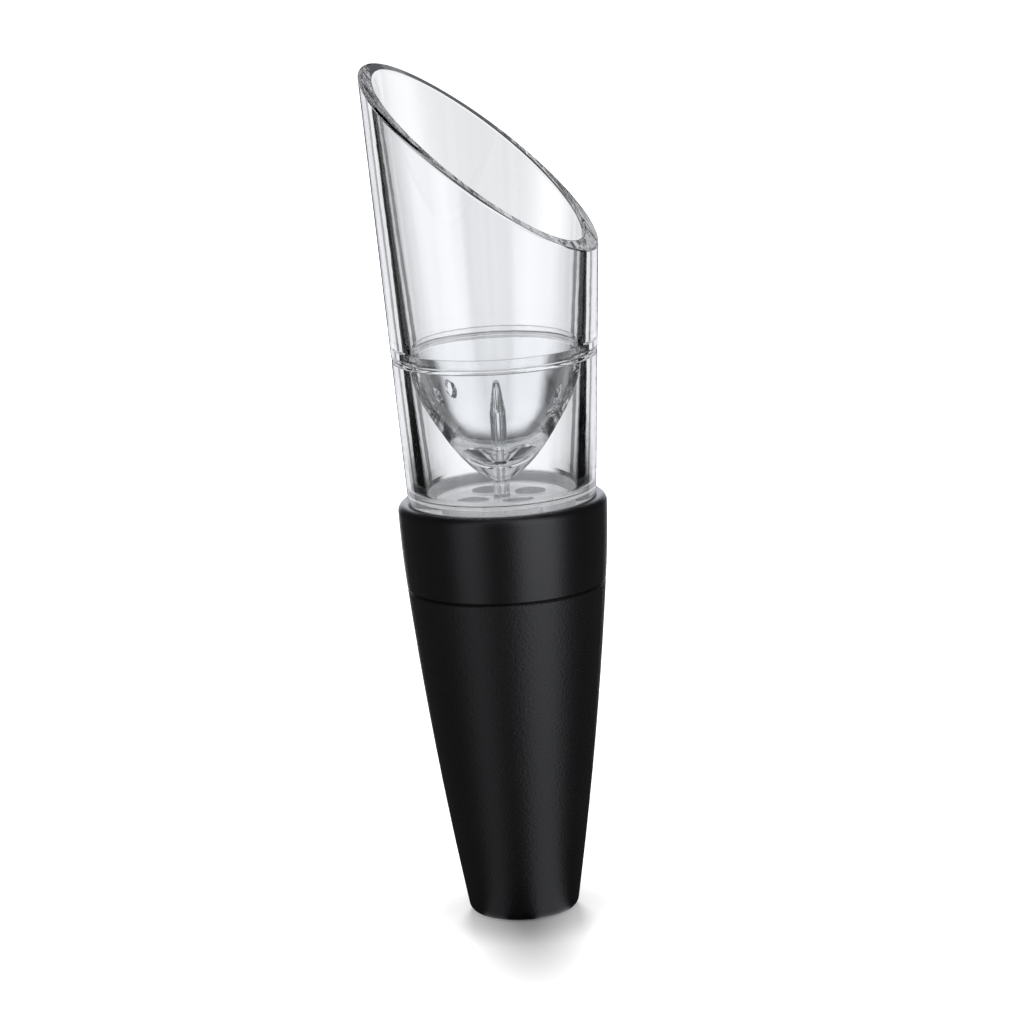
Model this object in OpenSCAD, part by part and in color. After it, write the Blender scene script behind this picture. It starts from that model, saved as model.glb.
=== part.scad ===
// Wine aerator pourer: a clear slant-cut spout over a clear chamber that holds an aeration bowl,
// on a black collar and a soft tapered stopper. Millimetres, +Z up.
// The origin is on the axis, in the plane of the foot. The pouring tip points along -X.

/* [Stopper] */
// Diameter of the foot
foot_d = 14.7; // [13.6:0.1:16]
// Height of the tapered stopper
stopper_h = 46; // [38:0.5:56]
// How far the side swells past a straight taper
stopper_swell = 0.45; // [0.2:0.05:0.9]
// Rounding of the foot's edge
foot_round = 1.4; // [0.6:0.1:1.8]
// Diameter of the wine inlet in the foot
inlet_d = 8.4; // [7.6:0.1:9]
// Thickness of the foot under the collar's spigot
foot_t = 3; // [2:0.1:5]
// Chamfer on each side of the seam between stopper and collar
seam_chamfer = 0.3; // [0.1:0.05:0.45]
// Height of the ring that locks the stopper into the collar
tongue_h = 2.3; // [1.2:0.1:2.8]
// Radial thickness of that ring
tongue_t = 2.2; // [1.4:0.1:2.4]

/* [Collar] */
// Height of the collar
collar_h = 11.9; // [10.5:0.1:15]
// Wall of the collar round the clear body
collar_wall = 1.45; // [1.3:0.05:2.2]
// How far the collar draws in on each side from its top down to the stopper
collar_draw = 0.7; // [0.4:0.05:1.1]
// How far the collar's side swells past a straight taper
collar_swell = 0.12; // [0.05:0.01:0.3]
// Rounding of the collar's upper edge
collar_round = 1.1; // [0.5:0.1:1.2]
// Thickness of the collar's base between stopper and socket
collar_base_t = 4.5; // [4:0.1:6]
// Diameter of the spigot's lower end
spigot_end_d = 10.6; // [10.2:0.1:11.2]
// Diameter of the spigot under the collar
spigot_top_d = 16.6; // [15.6:0.1:17.4]
// Wine bore at the spigot's lower end
wine_bore_end_d = 8; // [7:0.1:8.4]
// Wine bore at the top of the riser
wine_bore_top_d = 13.2; // [12.2:0.1:13.6]
// Outer diameter of the riser under the chamber's floor
riser_d = 15.7; // [15:0.1:17]
// Height of the barb that holds the spigot in the stopper
barb_h = 2.4; // [1.6:0.1:3]
// How far the barb stands out
barb_t = 0.8; // [0.4:0.1:1]
// Distance of the barb below the collar
barb_drop = 8; // [5:0.5:12]

/* [Clear body] */
// Outer diameter of the clear body at the collar
body_base_d = 25.5; // [25:0.1:26]
// Taper of the outside, in degrees a side
body_taper = 3.35; // [2.5:0.05:4.2]
// Taper of the inside, in degrees a side
bore_taper = 4.6; // [3.6:0.05:4.8]
// Height of the chamber from the collar to the joint line
chamber_h = 19.6; // [18:0.1:24]
// Wall of the chamber at the joint line
chamber_wall = 2.15; // [1.8:0.05:2.5]
// Thickness of the chamber's floor
floor_t = 2; // [1.2:0.1:2.6]
// Height of the floor's upper face above the collar
floor_rise = 0.3; // [0.2:0.1:1]
// Rounding between floor and wall
floor_round = 2; // [1.4:0.1:2.4]
// Diameter of each wine port in the floor
floor_port_d = 4.3; // [3:0.1:4.4]
// Number of wine ports in the floor
floor_ports = 4; // [3:1:4]
// Circle on which the floor's wine ports lie
floor_port_circle = 8.9; // [8.8:0.1:9]
// Wall of the spout just above the bowl's lip
spout_wall = 2.6; // [2.3:0.05:3]
// Height of the mouth's low side above the joint line
mouth_low_h = 14.5; // [11:0.1:20]
// Slope of the mouth's cut, in degrees
mouth_angle = 39.6; // [25:0.1:45]

/* [Aeration bowl] */
// Thickness of the flange that shows as the joint line
flange_t = 0.45; // [0.3:0.05:0.8]
// Height of the lip above the joint line
lip_h = 1.7; // [1.2:0.1:3]
// Wall at the top of the lip
lip_wall = 0.75; // [0.5:0.05:0.9]
// Height of the shoulder, where the bowl curves in, below the joint line
shoulder_drop = 3.4; // [2.6:0.1:4.5]
// Wall of the bowl at its shoulder
bowl_wall = 0.9; // [0.6:0.05:1.2]
// Depth of the bowl below the joint line
bowl_depth = 13.9; // [11:0.1:14.4]
// Solid thickness under the bowl's lowest point
bowl_bottom_t = 3.4; // [2.4:0.1:3.6]
// Diameter of the stem
stem_d = 2.2; // [1.8:0.1:2.4]
// Bore for air through stem and nozzle
air_bore_d = 0.8; // [0.5:0.1:1]
// Height of the nozzle above the bowl's lowest point
nozzle_h = 9.8; // [7:0.1:10.5]
// Diameter of the nozzle's rounded tip
nozzle_tip_d = 1; // [0.8:0.1:1.2]
// Width of the slot through the nozzle
slot_w = 0.6; // [0.4:0.05:0.7]
// Height of the slot through the nozzle
slot_h = 3.6; // [2:0.1:4.5]
// Diameter of each wine port in the bowl
bowl_port_d = 1.7; // [1.2:0.1:1.9]
// Height of the bowl's wine ports below the joint line
bowl_port_drop = 6.6; // [6.2:0.1:7.4]
// Number of wine ports on each side of the bowl
side_ports = 3; // [1:1:4]
// Angle between the wine ports on one side
port_pitch = 24; // [18:1:28]

/* [Seal and fits] */
// Height of the seal
seal_h = 1.8; // [1.2:0.1:2.2]
// Radial thickness of the seal
seal_t = 1.1; // [0.8:0.05:1.3]
// Height of the seal above the chamber's lower end
seal_rise = 2.6; // [1.8:0.1:3.2]
// Clearance between the stopper and the spigot
soft_fit = 0.05; // [0.02:0.01:0.1]
// Clearance between the chamber and the collar
socket_fit = 0.1; // [0.05:0.01:0.15]
// Clearance round the bowl's lip and stem
lip_fit = 0.06; // [0.03:0.01:0.1]

/* [Hidden] */
black_soft = "#1a1a1c";
black_hard = "#202023";
black_seal = "#2a2a2c";
clear_tint = [0.86, 0.91, 0.94, 0.35];
$fn = 128;
curve_steps = 18;
side_steps = 10;
edge_steps = 8;
cut_margin = 1;

// The stopper is as wide as the collar's lower end, and the collar a wall wider than the clear body
collar_top_r = body_base_d / 2 + collar_wall;
stopper_top_r = collar_top_r - collar_draw;

// Heights
collar_z = stopper_h;
socket_z = collar_z + collar_base_t;
collar_top_z = collar_z + collar_h;
floor_top_z = collar_top_z + floor_rise;
floor_low_z = floor_top_z - floor_t;
joint_z = collar_top_z + chamber_h;
lip_top_z = joint_z + lip_h;
shoulder_z = joint_z - shoulder_drop;
bowl_low_z = joint_z - bowl_depth;
bowl_under_z = bowl_low_z - bowl_bottom_t;
nozzle_top_z = bowl_low_z + nozzle_h;
stem_end_z = floor_low_z - floor_t;
riser_top_z = floor_low_z - socket_fit;
seal_z = socket_z + seal_rise;
mouth_low_z = joint_z + mouth_low_h;

// Radii of the clear body at a height
function body_r(z) = body_base_d / 2 + (z - collar_top_z) * tan(body_taper);
function chamber_r(z) = body_r(joint_z) - chamber_wall - (joint_z - z) * tan(bore_taper);
function spout_bore_r(z) = body_r(lip_top_z) - spout_wall + (z - lip_top_z) * tan(bore_taper);

// Radii of the spigot and the wine bore at a height
function spigot_r(z) =
    (spigot_end_d + (spigot_top_d - spigot_end_d) * (z - foot_t) / (collar_z - foot_t)) / 2;
function wine_bore_r(z) =
    (wine_bore_end_d + (wine_bore_top_d - wine_bore_end_d) * (z - foot_t) / (riser_top_z - foot_t)) / 2;

skirt_r = body_base_d / 2 - 1.5 * socket_fit;
socket_r = skirt_r + socket_fit;
skirt_bore_r = chamber_r(floor_top_z);
groove_floor_r = socket_r - seal_t;
lip_r_in = spout_bore_r(lip_top_z);
lip_r_out = lip_r_in + lip_wall;
shoulder_r_out = chamber_r(shoulder_z) - 3 * lip_fit;
shoulder_r_in = shoulder_r_out - bowl_wall;
tongue_r = (riser_d / 2 + stopper_top_r) / 2;

// The mouth's plane meets the outside on its low side, at +X
mouth_low_r = body_r(mouth_low_z);
spout_top_r = mouth_low_r / (1 - tan(mouth_angle) * tan(body_taper));
spout_top_z = mouth_low_z + (mouth_low_r + spout_top_r) * tan(mouth_angle) * 1.1;

// The bowl curves as a power of its radius: a parabola inside, a fuller nose outside
inner_power = 2;
outer_power = 1.72;
function curve_z(r, r_end, h, power) = h * pow(r / r_end, power);
function curve_points(r_start, r_end, z0, h, power) = [
    for (i = [0:curve_steps])
        let (r = r_start + (r_end - r_start) * i / curve_steps)
        [r, z0 + curve_z(r, r_end, h, power)]
];
function reversed(list) = [for (i = [len(list) - 1:-1:0]) list[i]];

// Arc through a side's two ends that swells outward: its radius and its centre
function swell_radius(r0, r1, h, swell) = ((r1 - r0) * (r1 - r0) + h * h) / (8 * swell) + swell / 2;
function swell_centre(r0, r1, h, swell) =
    let (radius = swell_radius(r0, r1, h, swell), chord = norm([r1 - r0, h]))
    [(r0 + r1) / 2 - (radius - swell) * h / chord, h / 2 + (radius - swell) * (r1 - r0) / chord];

// Points along an arc between two angles
function arc(centre, radius, from, to, steps) = [
    for (i = [0:steps])
        let (a = from + (to - from) * i / steps)
        centre + radius * [cos(a), sin(a)]
];
function angle_at(centre, z, radius) = asin((z - centre[1]) / radius);

// Outline of a swelled side from its foot up; the edge of radius q is rounded, low or high
function swelled_side(r0, r1, h, swell, q, round_top) =
    let (
        radius = swell_radius(r0, r1, h, swell),
        centre = swell_centre(r0, r1, h, swell),
        near_z = round_top ? h - q : q,
        lean = angle_at(centre, near_z, radius - q),
        near = centre + (radius - q) * [cos(lean), sin(lean)],
        low = round_top ? angle_at(centre, 0, radius) : lean,
        high = round_top ? lean : angle_at(centre, h, radius),
        side = arc(centre, radius, low, high, side_steps)
    )
    round_top
        ? concat(side, arc(near, q, lean, 90, edge_steps))
        : concat(arc(near, q, -90, lean, edge_steps), side);

// Half section of a turned body with a swelled side
module swelled_section(r0, r1, h, swell, q, round_top) {
    polygon(concat([[0, 0]], swelled_side(r0, r1, h, swell, q, round_top), [[0, h]]));
}

// Half section of a hollow with a tapered side and its lower corner rounded
module cup_section(r_low, z_low, r_high, z_high, q) {
    slope = (r_high - r_low) / (z_high - z_low);
    length = norm([1, slope]);
    near = [r_low + slope * q - q * length, z_low + q];
    touch = near + [q / length, -q * slope / length];
    polygon([[0, z_low], [near[0], z_low], near, touch, [r_high, z_high], [0, z_high]]);
    translate(near) circle(r = q);
}

// Half section of a ring with rounded edges
module ring_section(r_in, r_out, z_low, h, q) {
    for (r = [r_in + q, r_out - q], z = [z_low + q, z_low + h - q]) {
        translate([r, z]) circle(r = q, $fn = 48);
    }
    translate([r_in + q, z_low]) square([r_out - r_in - 2 * q, h]);
    translate([r_in, z_low + q]) square([r_out - r_in, h - 2 * q]);
}

// Half section of the tapered spigot with its barb, grown by a clearance
module spigot_section(grow) {
    barb_top_z = collar_z - barb_drop;
    barb_low_z = barb_top_z - barb_h;
    polygon([
        [0, foot_t],
        [spigot_r(foot_t) + grow, foot_t],
        [spigot_r(barb_low_z) + grow, barb_low_z - grow],
        [spigot_r(barb_top_z) + barb_t + grow, barb_top_z - grow],
        [spigot_r(barb_top_z) + barb_t + grow, barb_top_z + grow],
        [spigot_r(barb_top_z) + grow, barb_top_z + grow],
        [spigot_r(collar_z) + grow, collar_z],
        [0, collar_z]
    ]);
}

// Soft stopper, pushed over the collar's spigot
module stopper() {
    color(black_soft) rotate_extrude() {
        difference() {
            union() {
                difference() {
                    swelled_section(foot_d / 2, stopper_top_r, stopper_h, stopper_swell, foot_round, false);
                    translate([stopper_top_r, stopper_h]) rotate(45)
                        square(seam_chamfer * sqrt(2), center = true);
                }
                translate([tongue_r - tongue_t / 2, stopper_h - cut_margin])
                    square([tongue_t, tongue_h + cut_margin]);
            }
            spigot_section(soft_fit);
            translate([0, collar_z - cut_margin]) square([spigot_r(collar_z) + soft_fit, 2 * cut_margin]);
            translate([0, -cut_margin]) square([inlet_d / 2, foot_t + 2 * cut_margin]);
        }
    }
}

// Hard collar: socket for the chamber above, tapered spigot with the wine bore below
module collar() {
    groove_t = tongue_t + 2 * soft_fit;
    color(black_hard) rotate_extrude() {
        difference() {
            union() {
                translate([0, collar_z])
                    swelled_section(stopper_top_r, collar_top_r, collar_h, collar_swell, collar_round, true);
                spigot_section(0);
            }
            difference() {
                translate([0, socket_z]) square([socket_r, collar_h]);
                square([riser_d / 2, riser_top_z]);
            }
            translate([tongue_r - groove_t / 2, collar_z - cut_margin])
                square([groove_t, tongue_h + soft_fit + cut_margin]);
            translate([stopper_top_r, collar_z]) rotate(45)
                square(seam_chamfer * sqrt(2), center = true);
            polygon([
                [0, foot_t - cut_margin],
                [wine_bore_r(foot_t - cut_margin), foot_t - cut_margin],
                [wine_bore_r(riser_top_z + cut_margin), riser_top_z + cut_margin],
                [0, riser_top_z + cut_margin]
            ]);
        }
    }
}

// Seal between the chamber and the collar, in its fitted shape
module chamber_seal() {
    color(black_seal) rotate_extrude()
        ring_section(groove_floor_r, socket_r, seal_z, seal_h, seal_t / 3);
}

// Clear chamber: skirt in the collar, floor with wine ports, tapered wall up to the joint line
module mixing_chamber() {
    boss_r = stem_d / 2 + lip_fit + 1;
    color(clear_tint) difference() {
        rotate_extrude() {
            difference() {
                union() {
                    translate([0, socket_z]) square([skirt_r, collar_top_z + socket_fit - socket_z]);
                    translate([0, collar_top_z + socket_fit]) polygon([
                        [0, 0],
                        [body_r(collar_top_z + socket_fit), 0],
                        [body_r(joint_z), joint_z - collar_top_z - socket_fit],
                        [0, joint_z - collar_top_z - socket_fit]
                    ]);
                }
                cup_section(skirt_bore_r, floor_top_z, chamber_r(joint_z + cut_margin), joint_z + cut_margin,
                    floor_round);
                difference() {
                    translate([0, socket_z - cut_margin])
                        square([skirt_bore_r, floor_low_z - socket_z + cut_margin]);
                    translate([0, stem_end_z]) square([boss_r, floor_t + cut_margin]);
                }
                translate([groove_floor_r - socket_fit / 2, seal_z - socket_fit / 2])
                    square([seal_t + socket_fit, seal_h + socket_fit]);
            }
        }
        translate([0, 0, stem_end_z - cut_margin]) cylinder(r = stem_d / 2 + lip_fit, h = 3 * floor_t + cut_margin);
        for (i = [0:floor_ports - 1]) {
            rotate((i + 0.5) * 360 / floor_ports) translate([floor_port_circle / 2, 0, floor_low_z - cut_margin])
                cylinder(d = floor_port_d, h = floor_t + 2 * cut_margin, $fn = 48);
        }
    }
}

// Clear bowl: flange and lip at the joint line, wine ports in its sides, slotted air nozzle, hollow stem
module aeration_bowl() {
    outer_h = shoulder_z - bowl_under_z;
    inner_h = shoulder_z - bowl_low_z;
    stem_r = stem_d / 2;
    tip_r = nozzle_tip_d / 2;
    nozzle_low_z = bowl_low_z + curve_z(stem_r, shoulder_r_in, inner_h, inner_power);
    taper_z = nozzle_top_z - slot_h;
    color(clear_tint) difference() {
        union() {
            rotate_extrude() polygon(concat(
                [[0, stem_end_z], [stem_r, stem_end_z]],
                curve_points(stem_r, shoulder_r_out, bowl_under_z, outer_h, outer_power),
                [
                    [chamber_r(joint_z) - 3 * lip_fit, joint_z],
                    [body_r(joint_z), joint_z],
                    [body_r(joint_z + flange_t), joint_z + flange_t],
                    [lip_r_out, joint_z + flange_t],
                    [lip_r_out, lip_top_z],
                    [lip_r_in, lip_top_z]
                ],
                reversed(curve_points(stem_r, shoulder_r_in, bowl_low_z, inner_h, inner_power)),
                [[stem_r, taper_z], [tip_r, nozzle_top_z - tip_r], [0, nozzle_top_z - tip_r]]
            ));
            translate([0, 0, nozzle_top_z - tip_r]) sphere(r = tip_r, $fn = 48);
        }
        translate([0, 0, stem_end_z - cut_margin])
            cylinder(d = air_bore_d, h = nozzle_top_z - 2 * tip_r - stem_end_z + cut_margin, $fn = 48);
        translate([-slot_w / 2, -stem_d, taper_z]) cube([slot_w, 2 * stem_d, slot_h - 2 * tip_r]);
        for (side = [0, 180], i = [0:side_ports - 1]) {
            rotate(side + (i - (side_ports - 1) / 2) * port_pitch)
                translate([shoulder_r_in / 2, 0, joint_z - bowl_port_drop]) rotate([0, 90, 0])
                    cylinder(d = bowl_port_d, h = shoulder_r_out, $fn = 48);
        }
    }
}

// Clear spout: seated on the bowl's flange and lip, its mouth cut at a slant
module pouring_spout() {
    base_z = joint_z + flange_t;
    seat_r = lip_r_out + lip_fit;
    color(clear_tint) difference() {
        rotate_extrude() polygon([
            [seat_r, base_z],
            [body_r(base_z), base_z],
            [body_r(spout_top_z), spout_top_z],
            [spout_bore_r(spout_top_z), spout_top_z],
            [spout_bore_r(lip_top_z), lip_top_z],
            [seat_r, lip_top_z]
        ]);
        translate([mouth_low_r, 0, mouth_low_z]) rotate([0, mouth_angle, 0])
            translate([-3 * spout_top_r, -2 * spout_top_r, 0])
                cube([4 * spout_top_r, 4 * spout_top_r, 3 * spout_top_r]);
    }
}

stopper();
collar();
chamber_seal();
mixing_chamber();
aeration_bowl();
pouring_spout();
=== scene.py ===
"""Looks for the wine aerator pourer: clear spout, chamber and bowl on a black collar and a soft stopper.

Lengths are in millimetres, as on the part's drawing, and are turned into metres where Blender takes them.
Bearings are in degrees, anticlockwise seen from above, with 0 at -Y.
"""

import math

import bmesh
import bpy
import numpy as np
from mathutils import Matrix, Vector


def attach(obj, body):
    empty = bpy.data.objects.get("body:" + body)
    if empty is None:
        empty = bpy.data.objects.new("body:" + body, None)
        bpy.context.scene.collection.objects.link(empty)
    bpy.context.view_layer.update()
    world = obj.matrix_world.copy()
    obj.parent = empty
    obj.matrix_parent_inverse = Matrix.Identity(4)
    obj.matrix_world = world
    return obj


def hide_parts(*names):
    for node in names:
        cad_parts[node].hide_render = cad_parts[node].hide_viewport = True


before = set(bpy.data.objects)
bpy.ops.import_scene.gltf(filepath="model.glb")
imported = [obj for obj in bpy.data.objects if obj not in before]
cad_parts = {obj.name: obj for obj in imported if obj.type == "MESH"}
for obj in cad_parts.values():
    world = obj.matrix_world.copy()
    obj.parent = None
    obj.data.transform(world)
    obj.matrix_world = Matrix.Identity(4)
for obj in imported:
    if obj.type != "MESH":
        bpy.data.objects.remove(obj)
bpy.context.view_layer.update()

MM = 0.001


def heights(name):
    """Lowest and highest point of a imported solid."""
    levels = [corner[2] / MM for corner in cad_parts[name].bound_box]
    return min(levels), max(levels)


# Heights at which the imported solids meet
COLLAR_TOP_Z = heights("collar")[1]
SOCKET_Z, JOINT_Z = heights("mixing_chamber")
STEM_END_Z, LIP_TOP_Z = heights("aeration_bowl")
FLANGE_TOP_Z = heights("pouring_spout")[0]
SEAL_LOW_Z, SEAL_TOP_Z = heights("chamber_seal")

# Clear body: outer radius at the collar, tapers and walls
BODY_BASE_R = 12.75
BODY_TAPER = math.tan(math.radians(3.35))
BORE_TAPER = math.tan(math.radians(4.6))
CHAMBER_WALL = 2.15
SPOUT_WALL = 2.6

# Mouth of the spout: height of its low side, slope of its cut, and the rounding of its two edges
MOUTH_LOW_Z = JOINT_Z + 14.5
MOUTH_SLOPE = math.tan(math.radians(39.6))
MOUTH_ROUND_OUT = 0.6
MOUTH_ROUND_IN = 0.5
MOUTH_RIM_SHARE = 0.48

# Bowl: lip, heights of its curve, wall at its shoulder, and the powers of the curve inside and outside
LIP_WALL = 0.75
SHOULDER_Z = JOINT_Z - 3.4
BOWL_LOW_Z = JOINT_Z - 13.9
BOWL_UNDER_Z = BOWL_LOW_Z - 3.4
BOWL_WALL = 0.9
INNER_POWER = 2.0
OUTER_POWER = 1.72

# Stem and nozzle of the bowl, with the bore and the slot for air
STEM_R = 1.1
AIR_BORE_R = 0.4
NOZZLE_TOP_Z = BOWL_LOW_Z + 9.8
NOZZLE_TIP_R = 0.5
SLOT_W = 0.6
SLOT_H = 3.6

# Wine ports in the sides of the bowl
BOWL_PORT_Z = JOINT_Z - 6.6
BOWL_PORT_R = 0.85
BOWL_PORT_SIDES = (0, 180)
BOWL_PORT_TURNS = (-24, 0, 24)

# Chamber: floor with its wine ports, skirt with the seal's groove, and the boss round the stem
FLOOR_TOP_Z = COLLAR_TOP_Z + 0.3
FLOOR_T = 2.0
FLOOR_LOW_Z = FLOOR_TOP_Z - FLOOR_T
FLOOR_ROUND = 2.0
FLOOR_PORT_R = 2.15
FLOOR_PORT_CIRCLE_R = 4.45
FLOOR_PORT_TURNS = (45, 135, 225, 315)
SEAL_T = 1.1
BOSS_WALL = 1.0

# Fits, and the gap left between the polished faces of two clear pieces that are bonded
SOCKET_FIT = 0.1
LIP_FIT = 0.06
BOND_GAP = 0.015

# Fine rounding of edges at the joint line, and how far the bowl's flange stands back there
EDGE_ROUND = 0.12
EDGE_MIDDLE = 0.3 * EDGE_ROUND
FLANGE_INSET = 0.08

# How far cutters reach past what they cut
CUT_MARGIN = 1.0


def body_r(z):
    """Radius of the clear body's outside at a height."""
    return BODY_BASE_R + (z - COLLAR_TOP_Z) * BODY_TAPER


def chamber_r(z):
    """Radius of the chamber's inside at a height."""
    return body_r(JOINT_Z) - CHAMBER_WALL - (JOINT_Z - z) * BORE_TAPER


def spout_bore_r(z):
    """Radius of the spout's inside at a height."""
    return body_r(LIP_TOP_Z) - SPOUT_WALL + (z - LIP_TOP_Z) * BORE_TAPER


LIP_IN_R = spout_bore_r(LIP_TOP_Z)
LIP_OUT_R = LIP_IN_R + LIP_WALL


# Turned meshes

TURN_STEPS = 256
TURN_ANGLES = np.arange(TURN_STEPS) * 2 * math.pi / TURN_STEPS
WELD_REACH = 1e-4
SLIVER_REACH = 1e-5


def unit(vectors):
    """Vectors at length 1."""
    return vectors / np.linalg.norm(vectors, axis=-1, keepdims=True)


def half_angle(first, second):
    """Half the angle between two directions."""
    return math.acos(max(-1.0, min(1.0, float(unit(first) @ unit(second))))) / 2


def ring(r, z):
    """Points round the axis, at one radius and height or at an array of each."""
    levels = np.broadcast_to(z, TURN_STEPS)
    return np.stack([r * np.cos(TURN_ANGLES), r * np.sin(TURN_ANGLES), levels], axis=1)


def turned_run(points):
    """Rings and outward normals for a smooth run of (radius, height) points, with the solid on its right."""
    points = np.array(points, float)
    steps = unit(np.diff(points, axis=0))
    tangents = unit(np.vstack([steps[:1], steps[:-1] + steps[1:], steps[-1:]]))
    return [ring(r, z) for r, z in points], [ring(-dz, dr) for dr, dz in tangents]


def corner_arc(first, corner, last, steps):
    """Points from one side of a corner to the other, on a circle where both lie as far from the corner."""
    weight = math.sin(half_angle(first - corner, last - corner))
    arc = []
    for i in range(steps + 1):
        t = i / steps
        a, b, c = (1 - t) ** 2, 2 * weight * t * (1 - t), t ** 2
        arc.append((a * first + b * corner + c * last) / (a + b + c))
    return arc


def filleted(start, corner, end, radius, steps=16):
    """Runs from one point to another by way of a corner, with the corner rounded."""
    start, corner, end = (np.array(point, float) for point in (start, corner, end))
    reach = radius / math.tan(half_angle(start - corner, end - corner))
    first, last = (corner + unit(side - corner) * reach for side in (start, end))
    arc = corner_arc(first, corner, last, steps)
    return [[start, arc[0]], arc, [arc[-1], end]]


def edge_round(z, way):
    """Fine rounding of the body's outer edge at a height: way is 1 for a wall that goes up from it, or -1."""
    return [
        (body_r(z) - EDGE_ROUND, z),
        (body_r(z) - EDGE_MIDDLE, z + way * EDGE_MIDDLE),
        (body_r(z + way * EDGE_ROUND), z + way * EDGE_ROUND),
    ]


def solid_of_rings(name, strips, material):
    """Closed mesh from strips of rings; the surface is smooth within a strip and creased between strips."""
    vertices, faces, corner_normals = [], [], []
    for rings, normals in strips:
        for low, high, low_n, high_n in zip(rings, rings[1:], normals, normals[1:]):
            base = len(vertices)
            vertices.extend(low)
            vertices.extend(high)
            for i in range(TURN_STEPS):
                j = (i + 1) % TURN_STEPS
                faces.append((base + i, base + TURN_STEPS + i, base + TURN_STEPS + j, base + j))
                corner_normals.extend((low_n[i], high_n[i], high_n[j], low_n[j]))
    mesh = bpy.data.meshes.new(name)
    mesh.from_pydata(np.array(vertices) * MM, [], faces)
    stored = mesh.attributes.new("surface_normal", "FLOAT_VECTOR", "CORNER")
    stored.data.foreach_set("vector", np.array(corner_normals, np.float32).ravel())
    weld(mesh)
    mesh.materials.append(material)
    return placed(name, mesh)


def weld(mesh):
    """Merges the doubled rings and the points of each pole."""
    work = bmesh.new()
    work.from_mesh(mesh)
    bmesh.ops.remove_doubles(work, verts=work.verts, dist=WELD_REACH * MM)
    bmesh.ops.dissolve_degenerate(work, edges=work.edges, dist=SLIVER_REACH * MM)
    work.to_mesh(mesh)
    work.free()


def placed(name, data):
    """A new object in the scene."""
    made = bpy.data.objects.new(name, data)
    bpy.context.scene.collection.objects.link(made)
    return made


def cutter_mesh(name, vertices, faces):
    """Closed cutter from points in millimetres."""
    mesh = bpy.data.meshes.new(name)
    mesh.from_pydata([Vector(v) * MM for v in vertices], [], faces)
    return placed(name, mesh)


def round_cutter(name, radius, start, end, sides=40):
    """Cylinder between two points."""
    turn = (end - start).to_track_quat("Z", "Y")
    vertices = []
    for origin in (start, end):
        for i in range(sides):
            a = 2 * math.pi * i / sides
            vertices.append(origin + turn @ Vector((radius * math.cos(a), radius * math.sin(a), 0)))
    faces = [tuple(reversed(range(sides))), tuple(range(sides, 2 * sides))]
    faces += [(i, (i + 1) % sides, sides + (i + 1) % sides, sides + i) for i in range(sides)]
    return cutter_mesh(name, vertices, faces)


def box_cutter(name, low, high):
    """Box between two corners."""
    corners = [(x, y, z) for x in (low[0], high[0]) for y in (low[1], high[1]) for z in (low[2], high[2])]
    faces = [(0, 1, 3, 2), (4, 6, 7, 5), (0, 4, 5, 1), (2, 3, 7, 6), (0, 2, 6, 4), (1, 5, 7, 3)]
    return cutter_mesh(name, corners, faces)


def drill(piece, cutters):
    """Cuts holes and slots through a piece, and takes the cutters away."""
    for cutter in cutters:
        cut = piece.modifiers.new("drill", "BOOLEAN")
        cut.operation = "DIFFERENCE"
        cut.solver = "EXACT"
        cut.object = cutter
    settled = bpy.data.meshes.new_from_object(piece.evaluated_get(bpy.context.evaluated_depsgraph_get()))
    piece.modifiers.clear()
    piece.data = settled
    for cutter in cutters:
        bpy.data.objects.remove(cutter)


def polish(piece, agreement=0.6):
    """Gives each face the exact normals of the surface it was turned to; cut faces keep their own."""
    mesh = piece.data
    mesh.shade_smooth()
    exact = np.zeros(len(mesh.loops) * 3, np.float32)
    mesh.attributes["surface_normal"].data.foreach_get("vector", exact)
    exact = exact.reshape(-1, 3)
    flat = np.zeros(len(mesh.polygons) * 3, np.float32)
    mesh.polygons.foreach_get("normal", flat)
    corners = np.zeros(len(mesh.polygons), np.int32)
    mesh.polygons.foreach_get("loop_total", corners)
    flat = np.repeat(flat.reshape(-1, 3), corners, axis=0)
    lengths = np.linalg.norm(exact, axis=1)
    agrees = (lengths > 0.5) & (np.einsum("ij,ij->i", exact, flat) > agreement * lengths)
    normals = np.where(agrees[:, None], exact / np.maximum(lengths, 1e-6)[:, None], flat)
    mesh.normals_split_custom_set(normals.tolist())
    mesh.attributes.remove(mesh.attributes["surface_normal"])
    return piece


# Clear pieces

def mouth_outlines():
    """Radius and height, all the way round, of the spout's outer and inner wall at the slanted cut."""
    cos = np.cos(TURN_ANGLES)

    def cut(wall_r, taper):
        level = MOUTH_LOW_Z + MOUTH_SLOPE * (body_r(MOUTH_LOW_Z) - cos * wall_r(0.0))
        z = level / (1 + MOUTH_SLOPE * cos * taper)
        return np.stack([wall_r(z), z], axis=1)

    return cut(body_r, BODY_TAPER), cut(spout_bore_r, BORE_TAPER)


def mouth_edge(corners, far_corners, taper, side, radius, steps=8):
    """Rings and normals of a rounded edge, from a wall to the cut; side is 1 outside and -1 inside."""
    down = unit(np.array([-taper, -1.0]))
    arcs = []
    for corner, far in zip(corners, far_corners):
        rim = far - corner
        reach = min(radius / math.tan(half_angle(down, rim)), MOUTH_RIM_SHARE * np.linalg.norm(rim))
        arcs.append(corner_arc(corner + down * reach, corner, corner + unit(rim) * reach, steps))
    arcs = np.array(arcs)
    wall_normal = unit(ring(side, -side * taper))
    cut_normal = unit(np.array([MOUTH_SLOPE, 0.0, 1.0]))
    shares = [k / steps for k in range(steps + 1)]
    rings = [ring(arcs[:, k, 0], arcs[:, k, 1]) for k in range(steps + 1)]
    return rings, [unit(wall_normal * (1 - share) + cut_normal * share) for share in shares]


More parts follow.
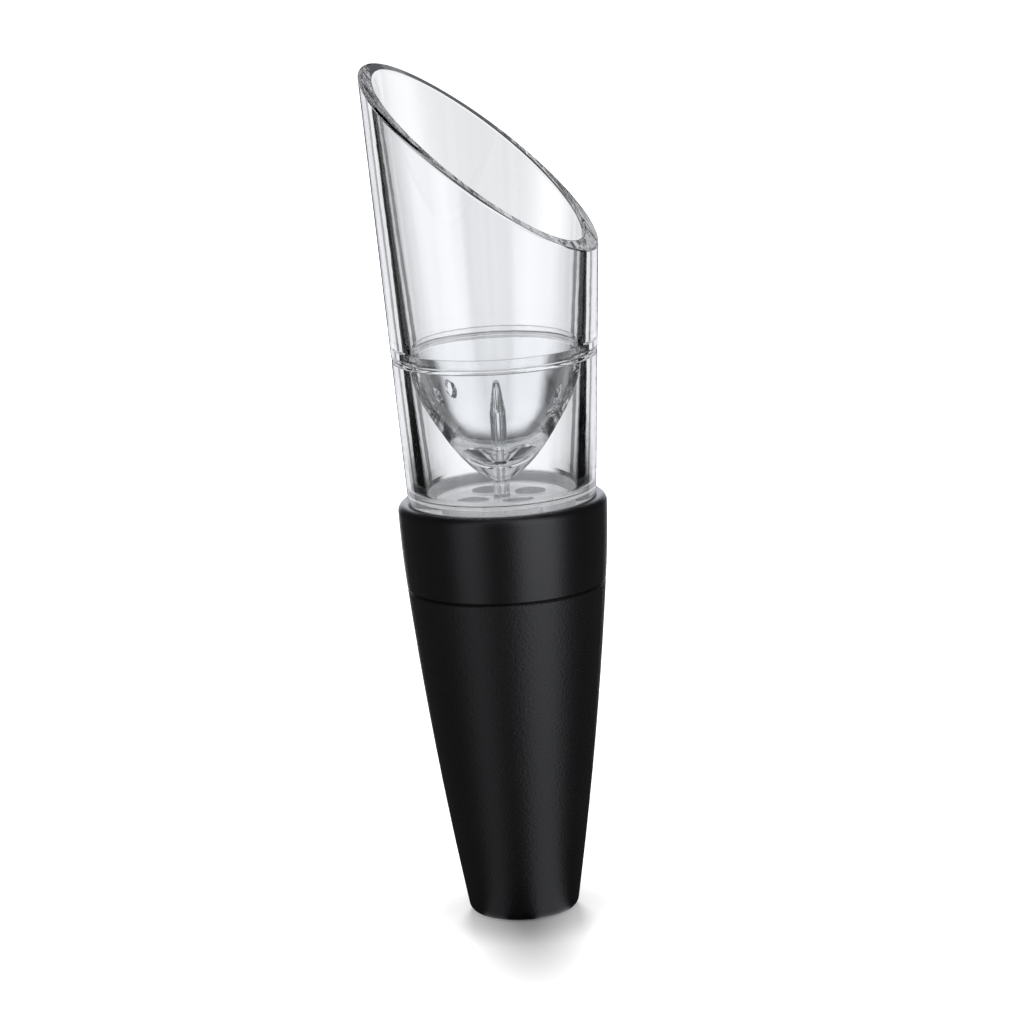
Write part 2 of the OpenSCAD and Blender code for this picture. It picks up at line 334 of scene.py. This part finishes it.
def pouring_spout(material):
    """Upper shell: turned walls, a slanted mouth with polished edges, and the seat on the bowl's lip."""
    outer, inner = mouth_outlines()
    in_rings, in_normals = mouth_edge(inner, outer, BORE_TAPER, -1, MOUTH_ROUND_IN)
    out_rings, out_normals = mouth_edge(outer, inner, BODY_TAPER, 1, MOUTH_ROUND_OUT)
    out_rings, out_normals = out_rings[::-1], out_normals[::-1]
    base_z = FLANGE_TOP_Z + BOND_GAP
    seat_r = LIP_OUT_R + LIP_FIT
    base_edge = edge_round(base_z, 1)[::-1]
    seat = [base_edge[-1], (seat_r, base_z), (seat_r, LIP_TOP_Z), (LIP_IN_R, LIP_TOP_Z)]
    strips = [
        ([ring(LIP_IN_R, LIP_TOP_Z), in_rings[0]], [in_normals[0], in_normals[0]]),
        (in_rings, in_normals),
        ([in_rings[-1], out_rings[0]], [in_normals[-1], out_normals[0]]),
        (out_rings, out_normals),
        ([out_rings[-1], ring(*base_edge[0])], [out_normals[-1], out_normals[-1]]),
        turned_run(base_edge),
    ]
    strips += [turned_run(pair) for pair in zip(seat, seat[1:])]
    return polish(solid_of_rings("clear_spout", strips, material))


def bowl_curve(end_r, low_z, power, steps=48):
    """Points of the bowl's curve from the stem to the shoulder, which rises as a power of its radius."""
    radii = np.linspace(STEM_R, end_r, steps + 1)
    return [np.array([r, low_z + (SHOULDER_Z - low_z) * (r / end_r) ** power]) for r in radii]


def eased(curve, end, ease=2.2, share=0.8, steps=10):
    """The curve and the straight wall above it, with the corner between them eased into an arc."""
    corner, end = curve[-1], np.array(end)
    kept = [point for point in curve if np.linalg.norm(corner - point) > ease]
    reach = min(np.linalg.norm(kept[-1] - corner), share * np.linalg.norm(end - corner))
    return kept[:-1] + corner_arc(kept[-1], corner, corner + unit(end - corner) * reach, steps) + [end]


def bowl_cutters(slot_low_z, bore_top_z, shoulder_r):
    """Cutters for the nozzle's slot and for the wine ports in the two sides of the bowl."""
    slot_low, slot_high = (-SLOT_W / 2, -2 * STEM_R, slot_low_z), (SLOT_W / 2, 2 * STEM_R, bore_top_z)
    cutters = [box_cutter("slot", slot_low, slot_high)]
    for side in BOWL_PORT_SIDES:
        for turn in BOWL_PORT_TURNS:
            a = math.radians(side + turn)
            way = Vector((math.cos(a), math.sin(a), 0))
            level = Vector((0, 0, BOWL_PORT_Z))
            start, end = level + way * shoulder_r / 2, level + way * (shoulder_r + CUT_MARGIN)
            cutters.append(round_cutter("port", BOWL_PORT_R, start, end))
    return cutters


def aeration_bowl(material):
    """Bowl with its lip, the flange that shows as the joint line, the slotted nozzle and the hollow stem."""
    shoulder_r = chamber_r(SHOULDER_Z) - 3 * LIP_FIT
    lip_z = LIP_TOP_Z - 2 * BOND_GAP
    flange_low, flange_top = JOINT_Z + BOND_GAP, FLANGE_TOP_Z - BOND_GAP
    flange_low_r, flange_top_r = body_r(JOINT_Z) - FLANGE_INSET, body_r(flange_top) - FLANGE_INSET
    slot_low_z, bore_top_z = NOZZLE_TOP_Z - SLOT_H, NOZZLE_TOP_Z - 2 * NOZZLE_TIP_R
    inside = eased(bowl_curve(shoulder_r - BOWL_WALL, BOWL_LOW_Z, INNER_POWER), (LIP_IN_R, lip_z))
    outside = bowl_curve(shoulder_r, BOWL_UNDER_Z, OUTER_POWER)
    outside = eased(outside, (chamber_r(JOINT_Z) - 3 * LIP_FIT, flange_low))[::-1]
    tip_z, tip_turns = NOZZLE_TOP_Z - NOZZLE_TIP_R, np.linspace(0, math.pi / 2, 9)
    tip = [(NOZZLE_TIP_R * math.sin(a), tip_z + NOZZLE_TIP_R * math.cos(a)) for a in tip_turns]
    lip_and_flange = [
        inside[-1], (LIP_OUT_R, lip_z), (LIP_OUT_R, flange_top), (flange_top_r, flange_top),
        (flange_low_r, flange_low), outside[0],
    ]
    stem = [
        outside[-1], (STEM_R, STEM_END_Z), (AIR_BORE_R, STEM_END_Z), (AIR_BORE_R, bore_top_z),
        (0.0, bore_top_z),
    ]
    runs = [tip + [(STEM_R, slot_low_z)], [(STEM_R, slot_low_z), inside[0]], inside]
    runs += zip(lip_and_flange, lip_and_flange[1:])
    runs += [outside, *zip(stem, stem[1:])]
    bowl = solid_of_rings("clear_bowl", [turned_run(run) for run in runs], material)
    drill(bowl, bowl_cutters(slot_low_z, bore_top_z, shoulder_r))
    return polish(bowl)


def chamber_outline():
    """Runs round the chamber's half section: floor, wall, joint line, skirt with its groove, and boss."""
    skirt_r, skirt_bore_r = BODY_BASE_R - 1.5 * SOCKET_FIT, chamber_r(FLOOR_TOP_Z)
    stem_hole_r = STEM_R + LIP_FIT
    boss_r = stem_hole_r + BOSS_WALL
    groove_r = skirt_r + SOCKET_FIT / 2 - SEAL_T
    groove_low, groove_top = SEAL_LOW_Z - SOCKET_FIT / 2, SEAL_TOP_Z + SOCKET_FIT / 2
    step_z = COLLAR_TOP_Z + SOCKET_FIT
    inner_top = (chamber_r(JOINT_Z), JOINT_Z)
    outer_edge = edge_round(JOINT_Z, -1)
    corners = [
        outer_edge[-1], (body_r(step_z), step_z), (skirt_r, step_z),
        (skirt_r, groove_top), (groove_r, groove_top), (groove_r, groove_low), (skirt_r, groove_low),
        (skirt_r, SOCKET_Z), (skirt_bore_r, SOCKET_Z), (skirt_bore_r, FLOOR_LOW_Z),
        (boss_r, FLOOR_LOW_Z), (boss_r, STEM_END_Z), (stem_hole_r, STEM_END_Z), (stem_hole_r, FLOOR_TOP_Z),
    ]
    runs = filleted((stem_hole_r, FLOOR_TOP_Z), (skirt_bore_r, FLOOR_TOP_Z), inner_top, FLOOR_ROUND)
    return runs + [[inner_top, outer_edge[0]], outer_edge, *zip(corners, corners[1:])]


def finish_faces(piece, material, chosen):
    """Gives a second finish to the faces whose centres, as radius and height, are chosen."""
    piece.data.materials.append(material)
    for face in piece.data.polygons:
        x, y, z = face.center / MM
        if chosen(math.hypot(x, y), z):
            face.material_index = 1


def mixing_chamber(material, satin):
    """Lower shell: tapered wall, floor with its wine ports, and the skirt in the collar's socket."""
    chamber = solid_of_rings("clear_chamber", [turned_run(run) for run in chamber_outline()], material)
    cutters = []
    for turn in FLOOR_PORT_TURNS:
        a = math.radians(turn)
        x, y = FLOOR_PORT_CIRCLE_R * math.cos(a), FLOOR_PORT_CIRCLE_R * math.sin(a)
        low, high = Vector((x, y, FLOOR_LOW_Z - CUT_MARGIN)), Vector((x, y, FLOOR_TOP_Z + CUT_MARGIN))
        cutters.append(round_cutter("floor_port", FLOOR_PORT_R, low, high))
    drill(chamber, cutters)
    floor_r, under_floor_z, in_socket_z = chamber_r(FLOOR_TOP_Z), FLOOR_TOP_Z - 0.2, COLLAR_TOP_Z - 0.5
    finish_faces(chamber, satin, lambda r, z: z < under_floor_z and (r < floor_r or z < in_socket_z))
    return polish(chamber)


# Nodes

# The Mix node has sockets for each kind of value: the places of its two values and of its result
MIX_SOCKETS = {"FLOAT": (2, 3, 0), "RGBA": (6, 7, 2)}


def node(tree, kind, inputs=None, **settings):
    """A new node with its settings; each input is a number, a colour or a link."""
    made = tree.nodes.new(kind)
    for key, value in settings.items():
        setattr(made, key, value)
    for key, value in (inputs or {}).items():
        if isinstance(value, bpy.types.NodeSocket):
            tree.links.new(value, made.inputs[key])
        else:
            made.inputs[key].default_value = value
    return made


def math_node(tree, operation, *values):
    """Result of a math node on links or numbers."""
    return node(tree, "ShaderNodeMath", dict(enumerate(values)), operation=operation).outputs[0]


def mixed(tree, kind, switch, first, second):
    """The first value where the switch is 0, and the second where it is 1."""
    first_place, second_place, result = MIX_SOCKETS[kind]
    inputs = {0: switch, first_place: first, second_place: second}
    return node(tree, "ShaderNodeMix", inputs, data_type=kind).outputs[result]


def ranged(tree, value, reach, levels=(0.0, 1.0), blend="SMOOTHSTEP"):
    """Spreads a value's reach over a range of levels."""
    inputs = {"Value": value, "From Min": reach[0], "From Max": reach[1],
              "To Min": levels[0], "To Max": levels[1]}
    return node(tree, "ShaderNodeMapRange", inputs, interpolation_type=blend).outputs["Result"]


def coordinates(tree, kind):
    """One kind of coordinates, as a link."""
    return tree.nodes.new("ShaderNodeTexCoord").outputs[kind]


def emptied(holder):
    """The node tree of a new material or world, with nothing in it."""
    holder.use_nodes = True
    holder.node_tree.nodes.clear()
    return holder.node_tree


def surface(tree, inputs):
    """Ends a material's tree in a Principled shader."""
    shader = node(tree, "ShaderNodeBsdfPrincipled", inputs)
    node(tree, "ShaderNodeOutputMaterial", {"Surface": shader.outputs["BSDF"]})


def new_group(name, scales, outputs):
    """A shader group with a vector input, its scales with their usual values, and its outputs."""
    group = bpy.data.node_groups.new(name, "ShaderNodeTree")
    face = group.interface
    face.new_socket("Vector", in_out="INPUT", socket_type="NodeSocketVector")
    for label, value in scales.items():
        face.new_socket(label, in_out="INPUT", socket_type="NodeSocketFloat").default_value = value
    for label in outputs:
        face.new_socket(label, in_out="OUTPUT", socket_type="NodeSocketFloat")
    return group, group.nodes.new("NodeGroupInput").outputs, group.nodes.new("NodeGroupOutput").inputs


def place_group(tree, group, inputs):
    """Outputs of a group that is placed in a tree with its own inputs."""
    return node(tree, "ShaderNodeGroup", inputs, node_tree=group).outputs


# Finishes

BLACK = (0.0022, 0.0022, 0.0025, 1.0)
WORN_BLACK = (0.0034, 0.0034, 0.0038, 1.0)
SEAL_BLACK = (0.01, 0.01, 0.011, 1.0)
SEAL_GREY = (0.014, 0.014, 0.015, 1.0)
BLACK_PATCHES = 140.0
GRAIN_DEPTH = 0.04
GRAIN_CELLS = 0.6

ACRYLIC_TINT = (0.97, 0.978, 0.99, 1.0)
ACRYLIC_CLEAR = (0.985, 0.99, 0.997, 1.0)
ACRYLIC_IOR = 1.49
ACRYLIC_SWIRL = 90.0
SWIRL_BUMP = 0.12
SWIRL_DEPTH = 0.2


def grain_group():
    """Fine moulded grain: a height for bump and a mask for roughness and colour."""
    scales = {"Grain Scale": 3000.0, "Patch Scale": 180.0}
    group, entry, leave = new_group("moulded_grain", scales, ("Height", "Patches"))
    fine = {"Vector": entry["Vector"], "Scale": entry["Grain Scale"]}
    wide = {"Vector": entry["Vector"], "Scale": entry["Patch Scale"]}
    cells = node(group, "ShaderNodeTexVoronoi", {**fine, "Randomness": 1.0}, feature="SMOOTH_F1")
    noise = node(group, "ShaderNodeTexNoise", {**fine, "Detail": 3.0, "Roughness": 0.6})
    patches = node(group, "ShaderNodeTexNoise", {**wide, "Detail": 4.0, "Roughness": 0.55})
    height = math_node(group, "MULTIPLY_ADD", cells.outputs["Distance"], GRAIN_CELLS, noise.outputs["Fac"])
    group.links.new(height, leave["Height"])
    group.links.new(patches.outputs["Fac"], leave["Patches"])
    return group


def black_finish(name, group, dark, pale, rough, specular, grain_scale, bump):
    """Black moulded finish: patches shift its colour and roughness a little, and grain breaks its shine."""
    material = bpy.data.materials.new(name)
    tree = emptied(material)
    grain = place_group(tree, group, {"Vector": coordinates(tree, "Object"), "Grain Scale": grain_scale,
                                      "Patch Scale": BLACK_PATCHES})
    relief = {"Strength": bump, "Distance": GRAIN_DEPTH * MM, "Height": grain["Height"]}
    surface(tree, {
        "Base Color": mixed(tree, "RGBA", grain["Patches"], dark, pale),
        "Roughness": ranged(tree, grain["Patches"], (0.0, 1.0), rough, "LINEAR"),
        "Specular IOR Level": specular,
        "Normal": node(tree, "ShaderNodeBump", relief).outputs["Normal"],
    })
    return material


def clear_acrylic(name, group, rough, transmission):
    """Clear acrylic with the faint swirl of a moulding in its surface: polished, or satin from the mould."""
    material = bpy.data.materials.new(name)
    tree = emptied(material)
    placing = {"Vector": coordinates(tree, "Object"), "Patch Scale": ACRYLIC_SWIRL}
    swirl = place_group(tree, group, placing)["Patches"]
    relief = {"Strength": SWIRL_BUMP, "Distance": SWIRL_DEPTH * MM, "Height": swirl}
    surface(tree, {
        "Base Color": mixed(tree, "RGBA", swirl, ACRYLIC_TINT, ACRYLIC_CLEAR),
        "Roughness": rough,
        "IOR": ACRYLIC_IOR,
        "Transmission Weight": transmission,
        "Normal": node(tree, "ShaderNodeBump", relief).outputs["Normal"],
    })
    return material


# Studio

WHITE = (1.0, 1.0, 1.0, 1.0)
NO_COLOUR = (0.0, 0.0, 0.0, 1.0)
SHINE_TINT = (0.91, 0.925, 1.0, 1.0)
THROUGH_TINT = (0.985, 0.99, 1.0, 1.0)

# The photograph was taken from this bearing
FRONT_BEARING = 17.0

# Backdrop for the clear pieces: its level by angle from the front, back or side, and four black flags
QUARTER_HALF = 45.0
BACKDROP_FALLOFF = (
    (0.0, 0.84), (1.6, 0.86), (4.2, 1.06), (8.0, 1.02), (12.0, 0.88), (18.0, 0.80), (21.5, 0.72),
    (23.0, 0.15), (27.5, 0.15), (30.0, 0.92), (34.0, 0.95),
)
FLAG_BEARINGS = (66.5, 147.5, 246.5, 327.5)
FLAG_HALF = 10.5
FLAG_SOFT = 2.0

# Darker sides of the near table, which the bowl shows as crescents: level by the same angle, and their turn
CRESCENT_SHADE = ((0.0, 1.0), (9.5, 1.0), (15.0, 0.03), (38.0, 0.03), (45.0, 0.7))
CRESCENT_TURN = 1.0

# Soft boxes as a satin surface shows them: bearing, half width, softness, strength; and the dark between them
SHINE_BOXES = ((55.0, 15.0, 15.0, 1.15), (-22.0, 8.0, 12.0, 0.5), (197.0, 10.0, 16.0, 1.1))
SHINE_DARK = 0.035

# The same for a mirror-smooth surface, which also shows the white behind the object, beside its dark outline
POLISH_BOXES = (
    (55.0, 12.0, 12.0, 1.1), (-22.0, 9.0, 9.0, 1.1), (164.0, 13.0, 5.0, 1.0), (230.0, 13.0, 5.0, 1.0),
)

# White of the table, and its own glow, which fades towards the object as a painted narrow shadow to the front
TABLE_HALF = 6000.0
TABLE_WHITE = (0.88, 0.88, 0.88, 1.0)
TABLE_ROUGH = 0.9
SHADOW_GLOW = (0.17, 0.88)
SHADOW_REACH = (4.0, 34.0)
SHADOW_NARROWING = 3.8
SHADOW_CENTRE = 6.0
SHADOW_TURN = 2.0

# Painted darker shade in the table's glow where the foot touches the table
PAINTED_CONTACT_SHADE = (0.5, 1.0)
CONTACT_REACH = (8.0, 20.0)

# The table through the clear pieces, by distance: dark near the object, and without crescents further out
THROUGH_SHADE = (0.05, 1.0)
THROUGH_REACH = (100.0, 175.0)
CRESCENT_END = (200.0, 260.0)

# It is light again in front, by angle away from the front, and round the foot, which shows from above
NEAR_FRONT_FROM, NEAR_FRONT_TO = 105.0, 125.0
NEAR_FRONT_LEVEL = 0.5
FOOT_GLOW = (0.92, 0.0)
FOOT_REACH = (60.0, 80.0)

# The soft boxes' light painted into the table's glow, by distance, as a gloss shows it
TABLE_SHINE = (0.9, 1.8)
TABLE_SHINE_REACH = (15.0, 220.0)

# Levels of the world: its even light, and what a satin, a polished and a clear surface see in it
AMBIENT = 0.3
WORLD_SHINE = 2.0
WORLD_POLISH = 0.5
WORLD_THROUGH = 0.62

# Lamp behind the object
LAMP_ELEVATION = 40.0
LAMP_DISTANCE = 700.0
LAMP_WIDTH, LAMP_HEIGHT = 200.0, 250.0
LAMP_POWER = 2.6

# The photograph's camera: the point it was measured from and its pixel, distance, height, roll and scale
PHOTO_SIZE = 1024
CAMERA_TARGET = Vector((0.0, 0.0, 60.0)) * MM
TARGET_PIXEL = (501.4, 481.5)
CAMERA_DISTANCE = 700.0
CAMERA_ELEVATION = 12.3
CAMERA_ROLL = 0.055
PIXELS_PER_MM = 7.39
SENSOR_MM = 36.0
CLIP_NEAR, CLIP_FAR = 10.0, 20000.0

# Bounces of light, which has to get through many clear walls
ALL_BOUNCES = 28
CLEAR_BOUNCES = 24


def soft_sector(tree, bearing, centre, half, soft):
    """1 near a bearing and 0 away from it, with soft edges."""
    nearness = math_node(tree, "COSINE", math_node(tree, "SUBTRACT", bearing, math.radians(centre)))
    return ranged(tree, nearness, (math.cos(math.radians(half + soft)), math.cos(math.radians(half))))


def share_away(tree, bearing, middle, span):
    """How far a bearing is from the middle, mirrored at the span, as a share of the span."""
    away = math_node(tree, "SUBTRACT", bearing, math.radians(middle))
    mirrored = math_node(tree, "PINGPONG", away, math.radians(span))
    return math_node(tree, "DIVIDE", mirrored, math.radians(span))


def by_angle(tree, bearing, middle, stops):
    """Level at the angle from the middle, or from a quarter turn on, from (angle, level) stops."""
    ramp = node(tree, "ShaderNodeValToRGB", {0: share_away(tree, bearing, middle, QUARTER_HALF)})
    ramp.color_ramp.interpolation = "EASE"
    while len(ramp.color_ramp.elements) < len(stops):
        ramp.color_ramp.elements.new(0.5)
    for stop, (angle, level) in zip(ramp.color_ramp.elements, stops):
        stop.position = angle / QUARTER_HALF
        stop.color = (level, level, level, 1.0)
    return ramp.outputs["Color"]


def by_distance(tree, where, reach, levels, blend="SMOOTHSTEP"):
    """Level at a distance from the middle of some coordinates."""
    distance = node(tree, "ShaderNodeVectorMath", {0: where}, operation="LENGTH").outputs["Value"]
    return ranged(tree, distance, (reach[0] * MM, reach[1] * MM), levels, blend)


def box_light(tree, bearing, boxes):
    """Light of the soft boxes at a bearing, over the dark between them."""
    level = SHINE_DARK
    for centre, half, soft, strength in boxes:
        sector = soft_sector(tree, bearing, centre, half, soft)
        level = math_node(tree, "ADD", math_node(tree, "MULTIPLY", sector, strength), level)
    return level


def studio_group():
    """What the studio holds at each bearing: the backdrop for clear pieces and the soft boxes for a gloss."""
    outputs = ("Backdrop", "Crescents", "Front", "Shine", "Polish")
    group, entry, leave = new_group("studio_bearings", {}, outputs)
    parts = node(group, "ShaderNodeSeparateXYZ", {0: entry["Vector"]}).outputs
    bearing = math_node(group, "ARCTAN2", parts["X"], math_node(group, "MULTIPLY", parts["Y"], -1.0))
    backdrop = by_angle(group, bearing, FRONT_BEARING, BACKDROP_FALLOFF)
    for centre in FLAG_BEARINGS:
        flag = soft_sector(group, bearing, centre, FLAG_HALF, FLAG_SOFT)
        backdrop = math_node(group, "MULTIPLY", backdrop, math_node(group, "SUBTRACT", 1.0, flag))
    crescents = by_angle(group, bearing, FRONT_BEARING + CRESCENT_TURN, CRESCENT_SHADE)
    front = ranged(group, share_away(group, bearing, FRONT_BEARING, 180.0),
                   (NEAR_FRONT_TO / 180.0, NEAR_FRONT_FROM / 180.0))
    shine, polished = (box_light(group, bearing, boxes) for boxes in (SHINE_BOXES, POLISH_BOXES))
    for name, level in zip(outputs, (backdrop, crescents, front, shine, polished)):
        group.links.new(level, leave[name])
    return group


def glow_with_painted_shadow(tree, where):
    """The table's own glow with a painted shadow of the object in it: a narrow one to the front, and one at
    the foot.
    """
    bearing = math.radians(FRONT_BEARING + SHADOW_TURN)
    centre = Vector((math.sin(bearing), -math.cos(bearing), 0.0)) * SHADOW_CENTRE * MM
    placing = {"Vector": where, "Location": centre, "Rotation": (0.0, 0.0, bearing),
               "Scale": (1 / SHADOW_NARROWING, 1.0, 1.0)}
    place = node(tree, "ShaderNodeMapping", placing, vector_type="TEXTURE").outputs["Vector"]
    glow = by_distance(tree, place, SHADOW_REACH, SHADOW_GLOW, "LINEAR")
    return math_node(tree, "MULTIPLY", glow, by_distance(tree, where, CONTACT_REACH, PAINTED_CONTACT_SHADE))


def table_seen_through(tree, where, around):
    """Level of the table through the clear pieces."""
    shade = by_distance(tree, where, THROUGH_REACH, THROUGH_SHADE)
    further_out = by_distance(tree, where, CRESCENT_END, (0.0, 1.0))
    crescents = math_node(tree, "MAXIMUM", around["Crescents"], further_out)
    backdrop = math_node(tree, "MULTIPLY", math_node(tree, "MULTIPLY", around["Backdrop"], shade), crescents)
    front = math_node(tree, "MULTIPLY", around["Front"], NEAR_FRONT_LEVEL)
    foot = by_distance(tree, where, FOOT_REACH, FOOT_GLOW)
    return math_node(tree, "MAXIMUM", math_node(tree, "MAXIMUM", backdrop, front), foot)


def table_material(studio):
    """White to the camera, with the lamp's shadow and a painted one; a gloss and the clear pieces see the
    studio in it.
    """
    material = bpy.data.materials.new("table_white")
    tree = emptied(material)
    where = coordinates(tree, "Object")
    around = place_group(tree, studio, {"Vector": where})
    rays = tree.nodes.new("ShaderNodeLightPath").outputs
    through = rays["Is Transmission Ray"]
    glossy = math_node(tree, "MULTIPLY", rays["Is Glossy Ray"], math_node(tree, "SUBTRACT", 1.0, through))
    plain = math_node(tree, "SUBTRACT", math_node(tree, "SUBTRACT", 1.0, glossy), through)
    shine_level = by_distance(tree, where, TABLE_SHINE_REACH, TABLE_SHINE)
    shine = math_node(tree, "MULTIPLY", around["Shine"], shine_level)
    shine = mixed(tree, "FLOAT", rays["Is Singular Ray"], shine, around["Polish"])
    seen = (
        (plain, glow_with_painted_shadow(tree, where), WHITE),
        (through, table_seen_through(tree, where, around), THROUGH_TINT),
        (glossy, shine, SHINE_TINT),
    )
    glow, tint = 0.0, WHITE
    for ray, level, ray_tint in seen:
        glow = math_node(tree, "ADD", glow, math_node(tree, "MULTIPLY", ray, level))
        tint = mixed(tree, "RGBA", ray, tint, ray_tint)
    surface(tree, {
        "Base Color": mixed(tree, "RGBA", plain, NO_COLOUR, TABLE_WHITE),
        "Roughness": TABLE_ROUGH,
        "Specular IOR Level": 0.0,
        "Emission Color": tint,
        "Emission Strength": glow,
    })
    return material


def table(studio):
    """Pale table top that the object stands on."""
    half = TABLE_HALF * MM
    corners = [(-half, -half, 0), (half, -half, 0), (half, half, 0), (-half, half, 0)]
    mesh = bpy.data.meshes.new("table")
    mesh.from_pydata(corners, [], [(0, 1, 2, 3)])
    mesh.materials.append(table_material(studio))
    placed("table", mesh)


def studio_world(studio):
    """Even light; the camera sees white, a gloss the soft boxes, and the clear pieces the backdrop."""
    world = bpy.data.worlds.new("studio")
    bpy.context.scene.world = world
    tree = emptied(world)
    rays = tree.nodes.new("ShaderNodeLightPath").outputs
    around = place_group(tree, studio, {"Vector": coordinates(tree, "Generated")})
    shine = math_node(tree, "MULTIPLY", around["Shine"], WORLD_SHINE)
    polished = math_node(tree, "MULTIPLY", around["Polish"], WORLD_POLISH)
    seen = (
        ("Is Glossy Ray", SHINE_TINT, mixed(tree, "FLOAT", rays["Is Singular Ray"], shine, polished)),
        ("Is Transmission Ray", THROUGH_TINT, math_node(tree, "MULTIPLY", around["Backdrop"], WORLD_THROUGH)),
        ("Is Camera Ray", WHITE, 1.0),
    )
    last = node(tree, "ShaderNodeBackground", {"Color": WHITE, "Strength": AMBIENT}).outputs[0]
    for ray, colour, strength in seen:
        light = node(tree, "ShaderNodeBackground", {"Color": colour, "Strength": strength}).outputs[0]
        last = node(tree, "ShaderNodeMixShader", {0: rays[ray], 1: last, 2: light}).outputs[0]
    node(tree, "ShaderNodeOutputWorld", {"Surface": last})


def way_to(bearing, elevation):
    """Direction from the object to a bearing and an elevation."""
    a, e = math.radians(bearing), math.radians(elevation)
    return Vector((math.sin(a) * math.cos(e), -math.cos(a) * math.cos(e), math.sin(e)))


def back_lamp():
    """Soft box behind the object, which throws light to the front and shows in nothing itself."""
    lamp = bpy.data.lights.new("back_box", "AREA")
    lamp.shape = "RECTANGLE"
    lamp.size, lamp.size_y, lamp.energy = LAMP_WIDTH * MM, LAMP_HEIGHT * MM, LAMP_POWER
    box = placed("back_box", lamp)
    back = way_to(FRONT_BEARING + 180 + SHADOW_TURN, LAMP_ELEVATION)
    box.location = CAMERA_TARGET + back * LAMP_DISTANCE * MM
    box.rotation_euler = back.to_track_quat("Z", "Y").to_euler()
    box.visible_camera = False
    box.visible_transmission = False
    box.visible_glossy = False


def photo_camera():
    """Camera at the photograph's angle, aimed beside the target so that the target lands on its pixel."""
    back = way_to(FRONT_BEARING, CAMERA_ELEVATION)
    right = way_to(FRONT_BEARING + 90, 0.0)
    up = back.cross(right)
    across = right * math.cos(CAMERA_ROLL) - up * math.sin(CAMERA_ROLL)
    upright = up * math.cos(CAMERA_ROLL) + right * math.sin(CAMERA_ROLL)
    half = PHOTO_SIZE / 2
    aside = ((TARGET_PIXEL[0] - half) * across - (TARGET_PIXEL[1] - half) * upright) * (MM / PIXELS_PER_MM)
    place = CAMERA_TARGET + back * CAMERA_DISTANCE * MM
    look = (CAMERA_TARGET - aside - place).normalized()
    side = look.cross(upright).normalized()
    turn = Matrix((side, side.cross(look), -look)).transposed()
    data = bpy.data.cameras.new("photo_camera")
    data.sensor_width = SENSOR_MM
    data.lens = PIXELS_PER_MM * CAMERA_DISTANCE * SENSOR_MM / PHOTO_SIZE
    data.clip_start, data.clip_end = CLIP_NEAR * MM, CLIP_FAR * MM
    camera = placed("photo_camera", data)
    camera.matrix_world = Matrix.Translation(place) @ turn.to_4x4()
    bpy.context.scene.camera = camera


def finish_black_pieces(grain):
    """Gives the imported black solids, which stay as they are, their finishes."""
    finishes = {
        "stopper": black_finish(
            "soft_touch_black", grain, BLACK, WORN_BLACK,
            rough=(0.37, 0.43), specular=0.4, grain_scale=2600.0, bump=1.0),
        "collar": black_finish(
            "moulded_black", grain, BLACK, WORN_BLACK,
            rough=(0.29, 0.35), specular=0.42, grain_scale=4200.0, bump=0.4),
        "chamber_seal": black_finish(
            "seal_rubber", grain, SEAL_BLACK, SEAL_GREY,
            rough=(0.6, 0.75), specular=0.3, grain_scale=3000.0, bump=0.3),
    }
    for name, finish in finishes.items():
        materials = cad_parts[name].data.materials
        materials.clear()
        materials.append(finish)


def replace_clear_pieces(grain):
    """Puts the polished clear pieces in the place of their solids."""
    acrylic = clear_acrylic("clear_acrylic", grain, rough=0.0, transmission=1.0)
    satin = clear_acrylic("satin_acrylic", grain, rough=0.35, transmission=0.15)
    pieces = {
        "pouring_spout": pouring_spout(acrylic),
        "aeration_bowl": aeration_bowl(acrylic),
        "mixing_chamber": mixing_chamber(acrylic, satin),
    }
    for replaced, piece in pieces.items():
        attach(piece, "root")
        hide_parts(replaced)
        piece.visible_shadow = False


def main():
    """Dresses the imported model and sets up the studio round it."""
    grain = grain_group()
    finish_black_pieces(grain)
    replace_clear_pieces(grain)
    studio = studio_group()
    studio_world(studio)
    table(studio)
    back_lamp()
    photo_camera()
    cycles = bpy.context.scene.cycles
    cycles.max_bounces = ALL_BOUNCES
    cycles.glossy_bounces = CLEAR_BOUNCES
    cycles.transmission_bounces = CLEAR_BOUNCES
    bpy.context.scene.view_settings.view_transform = "Standard"


main()
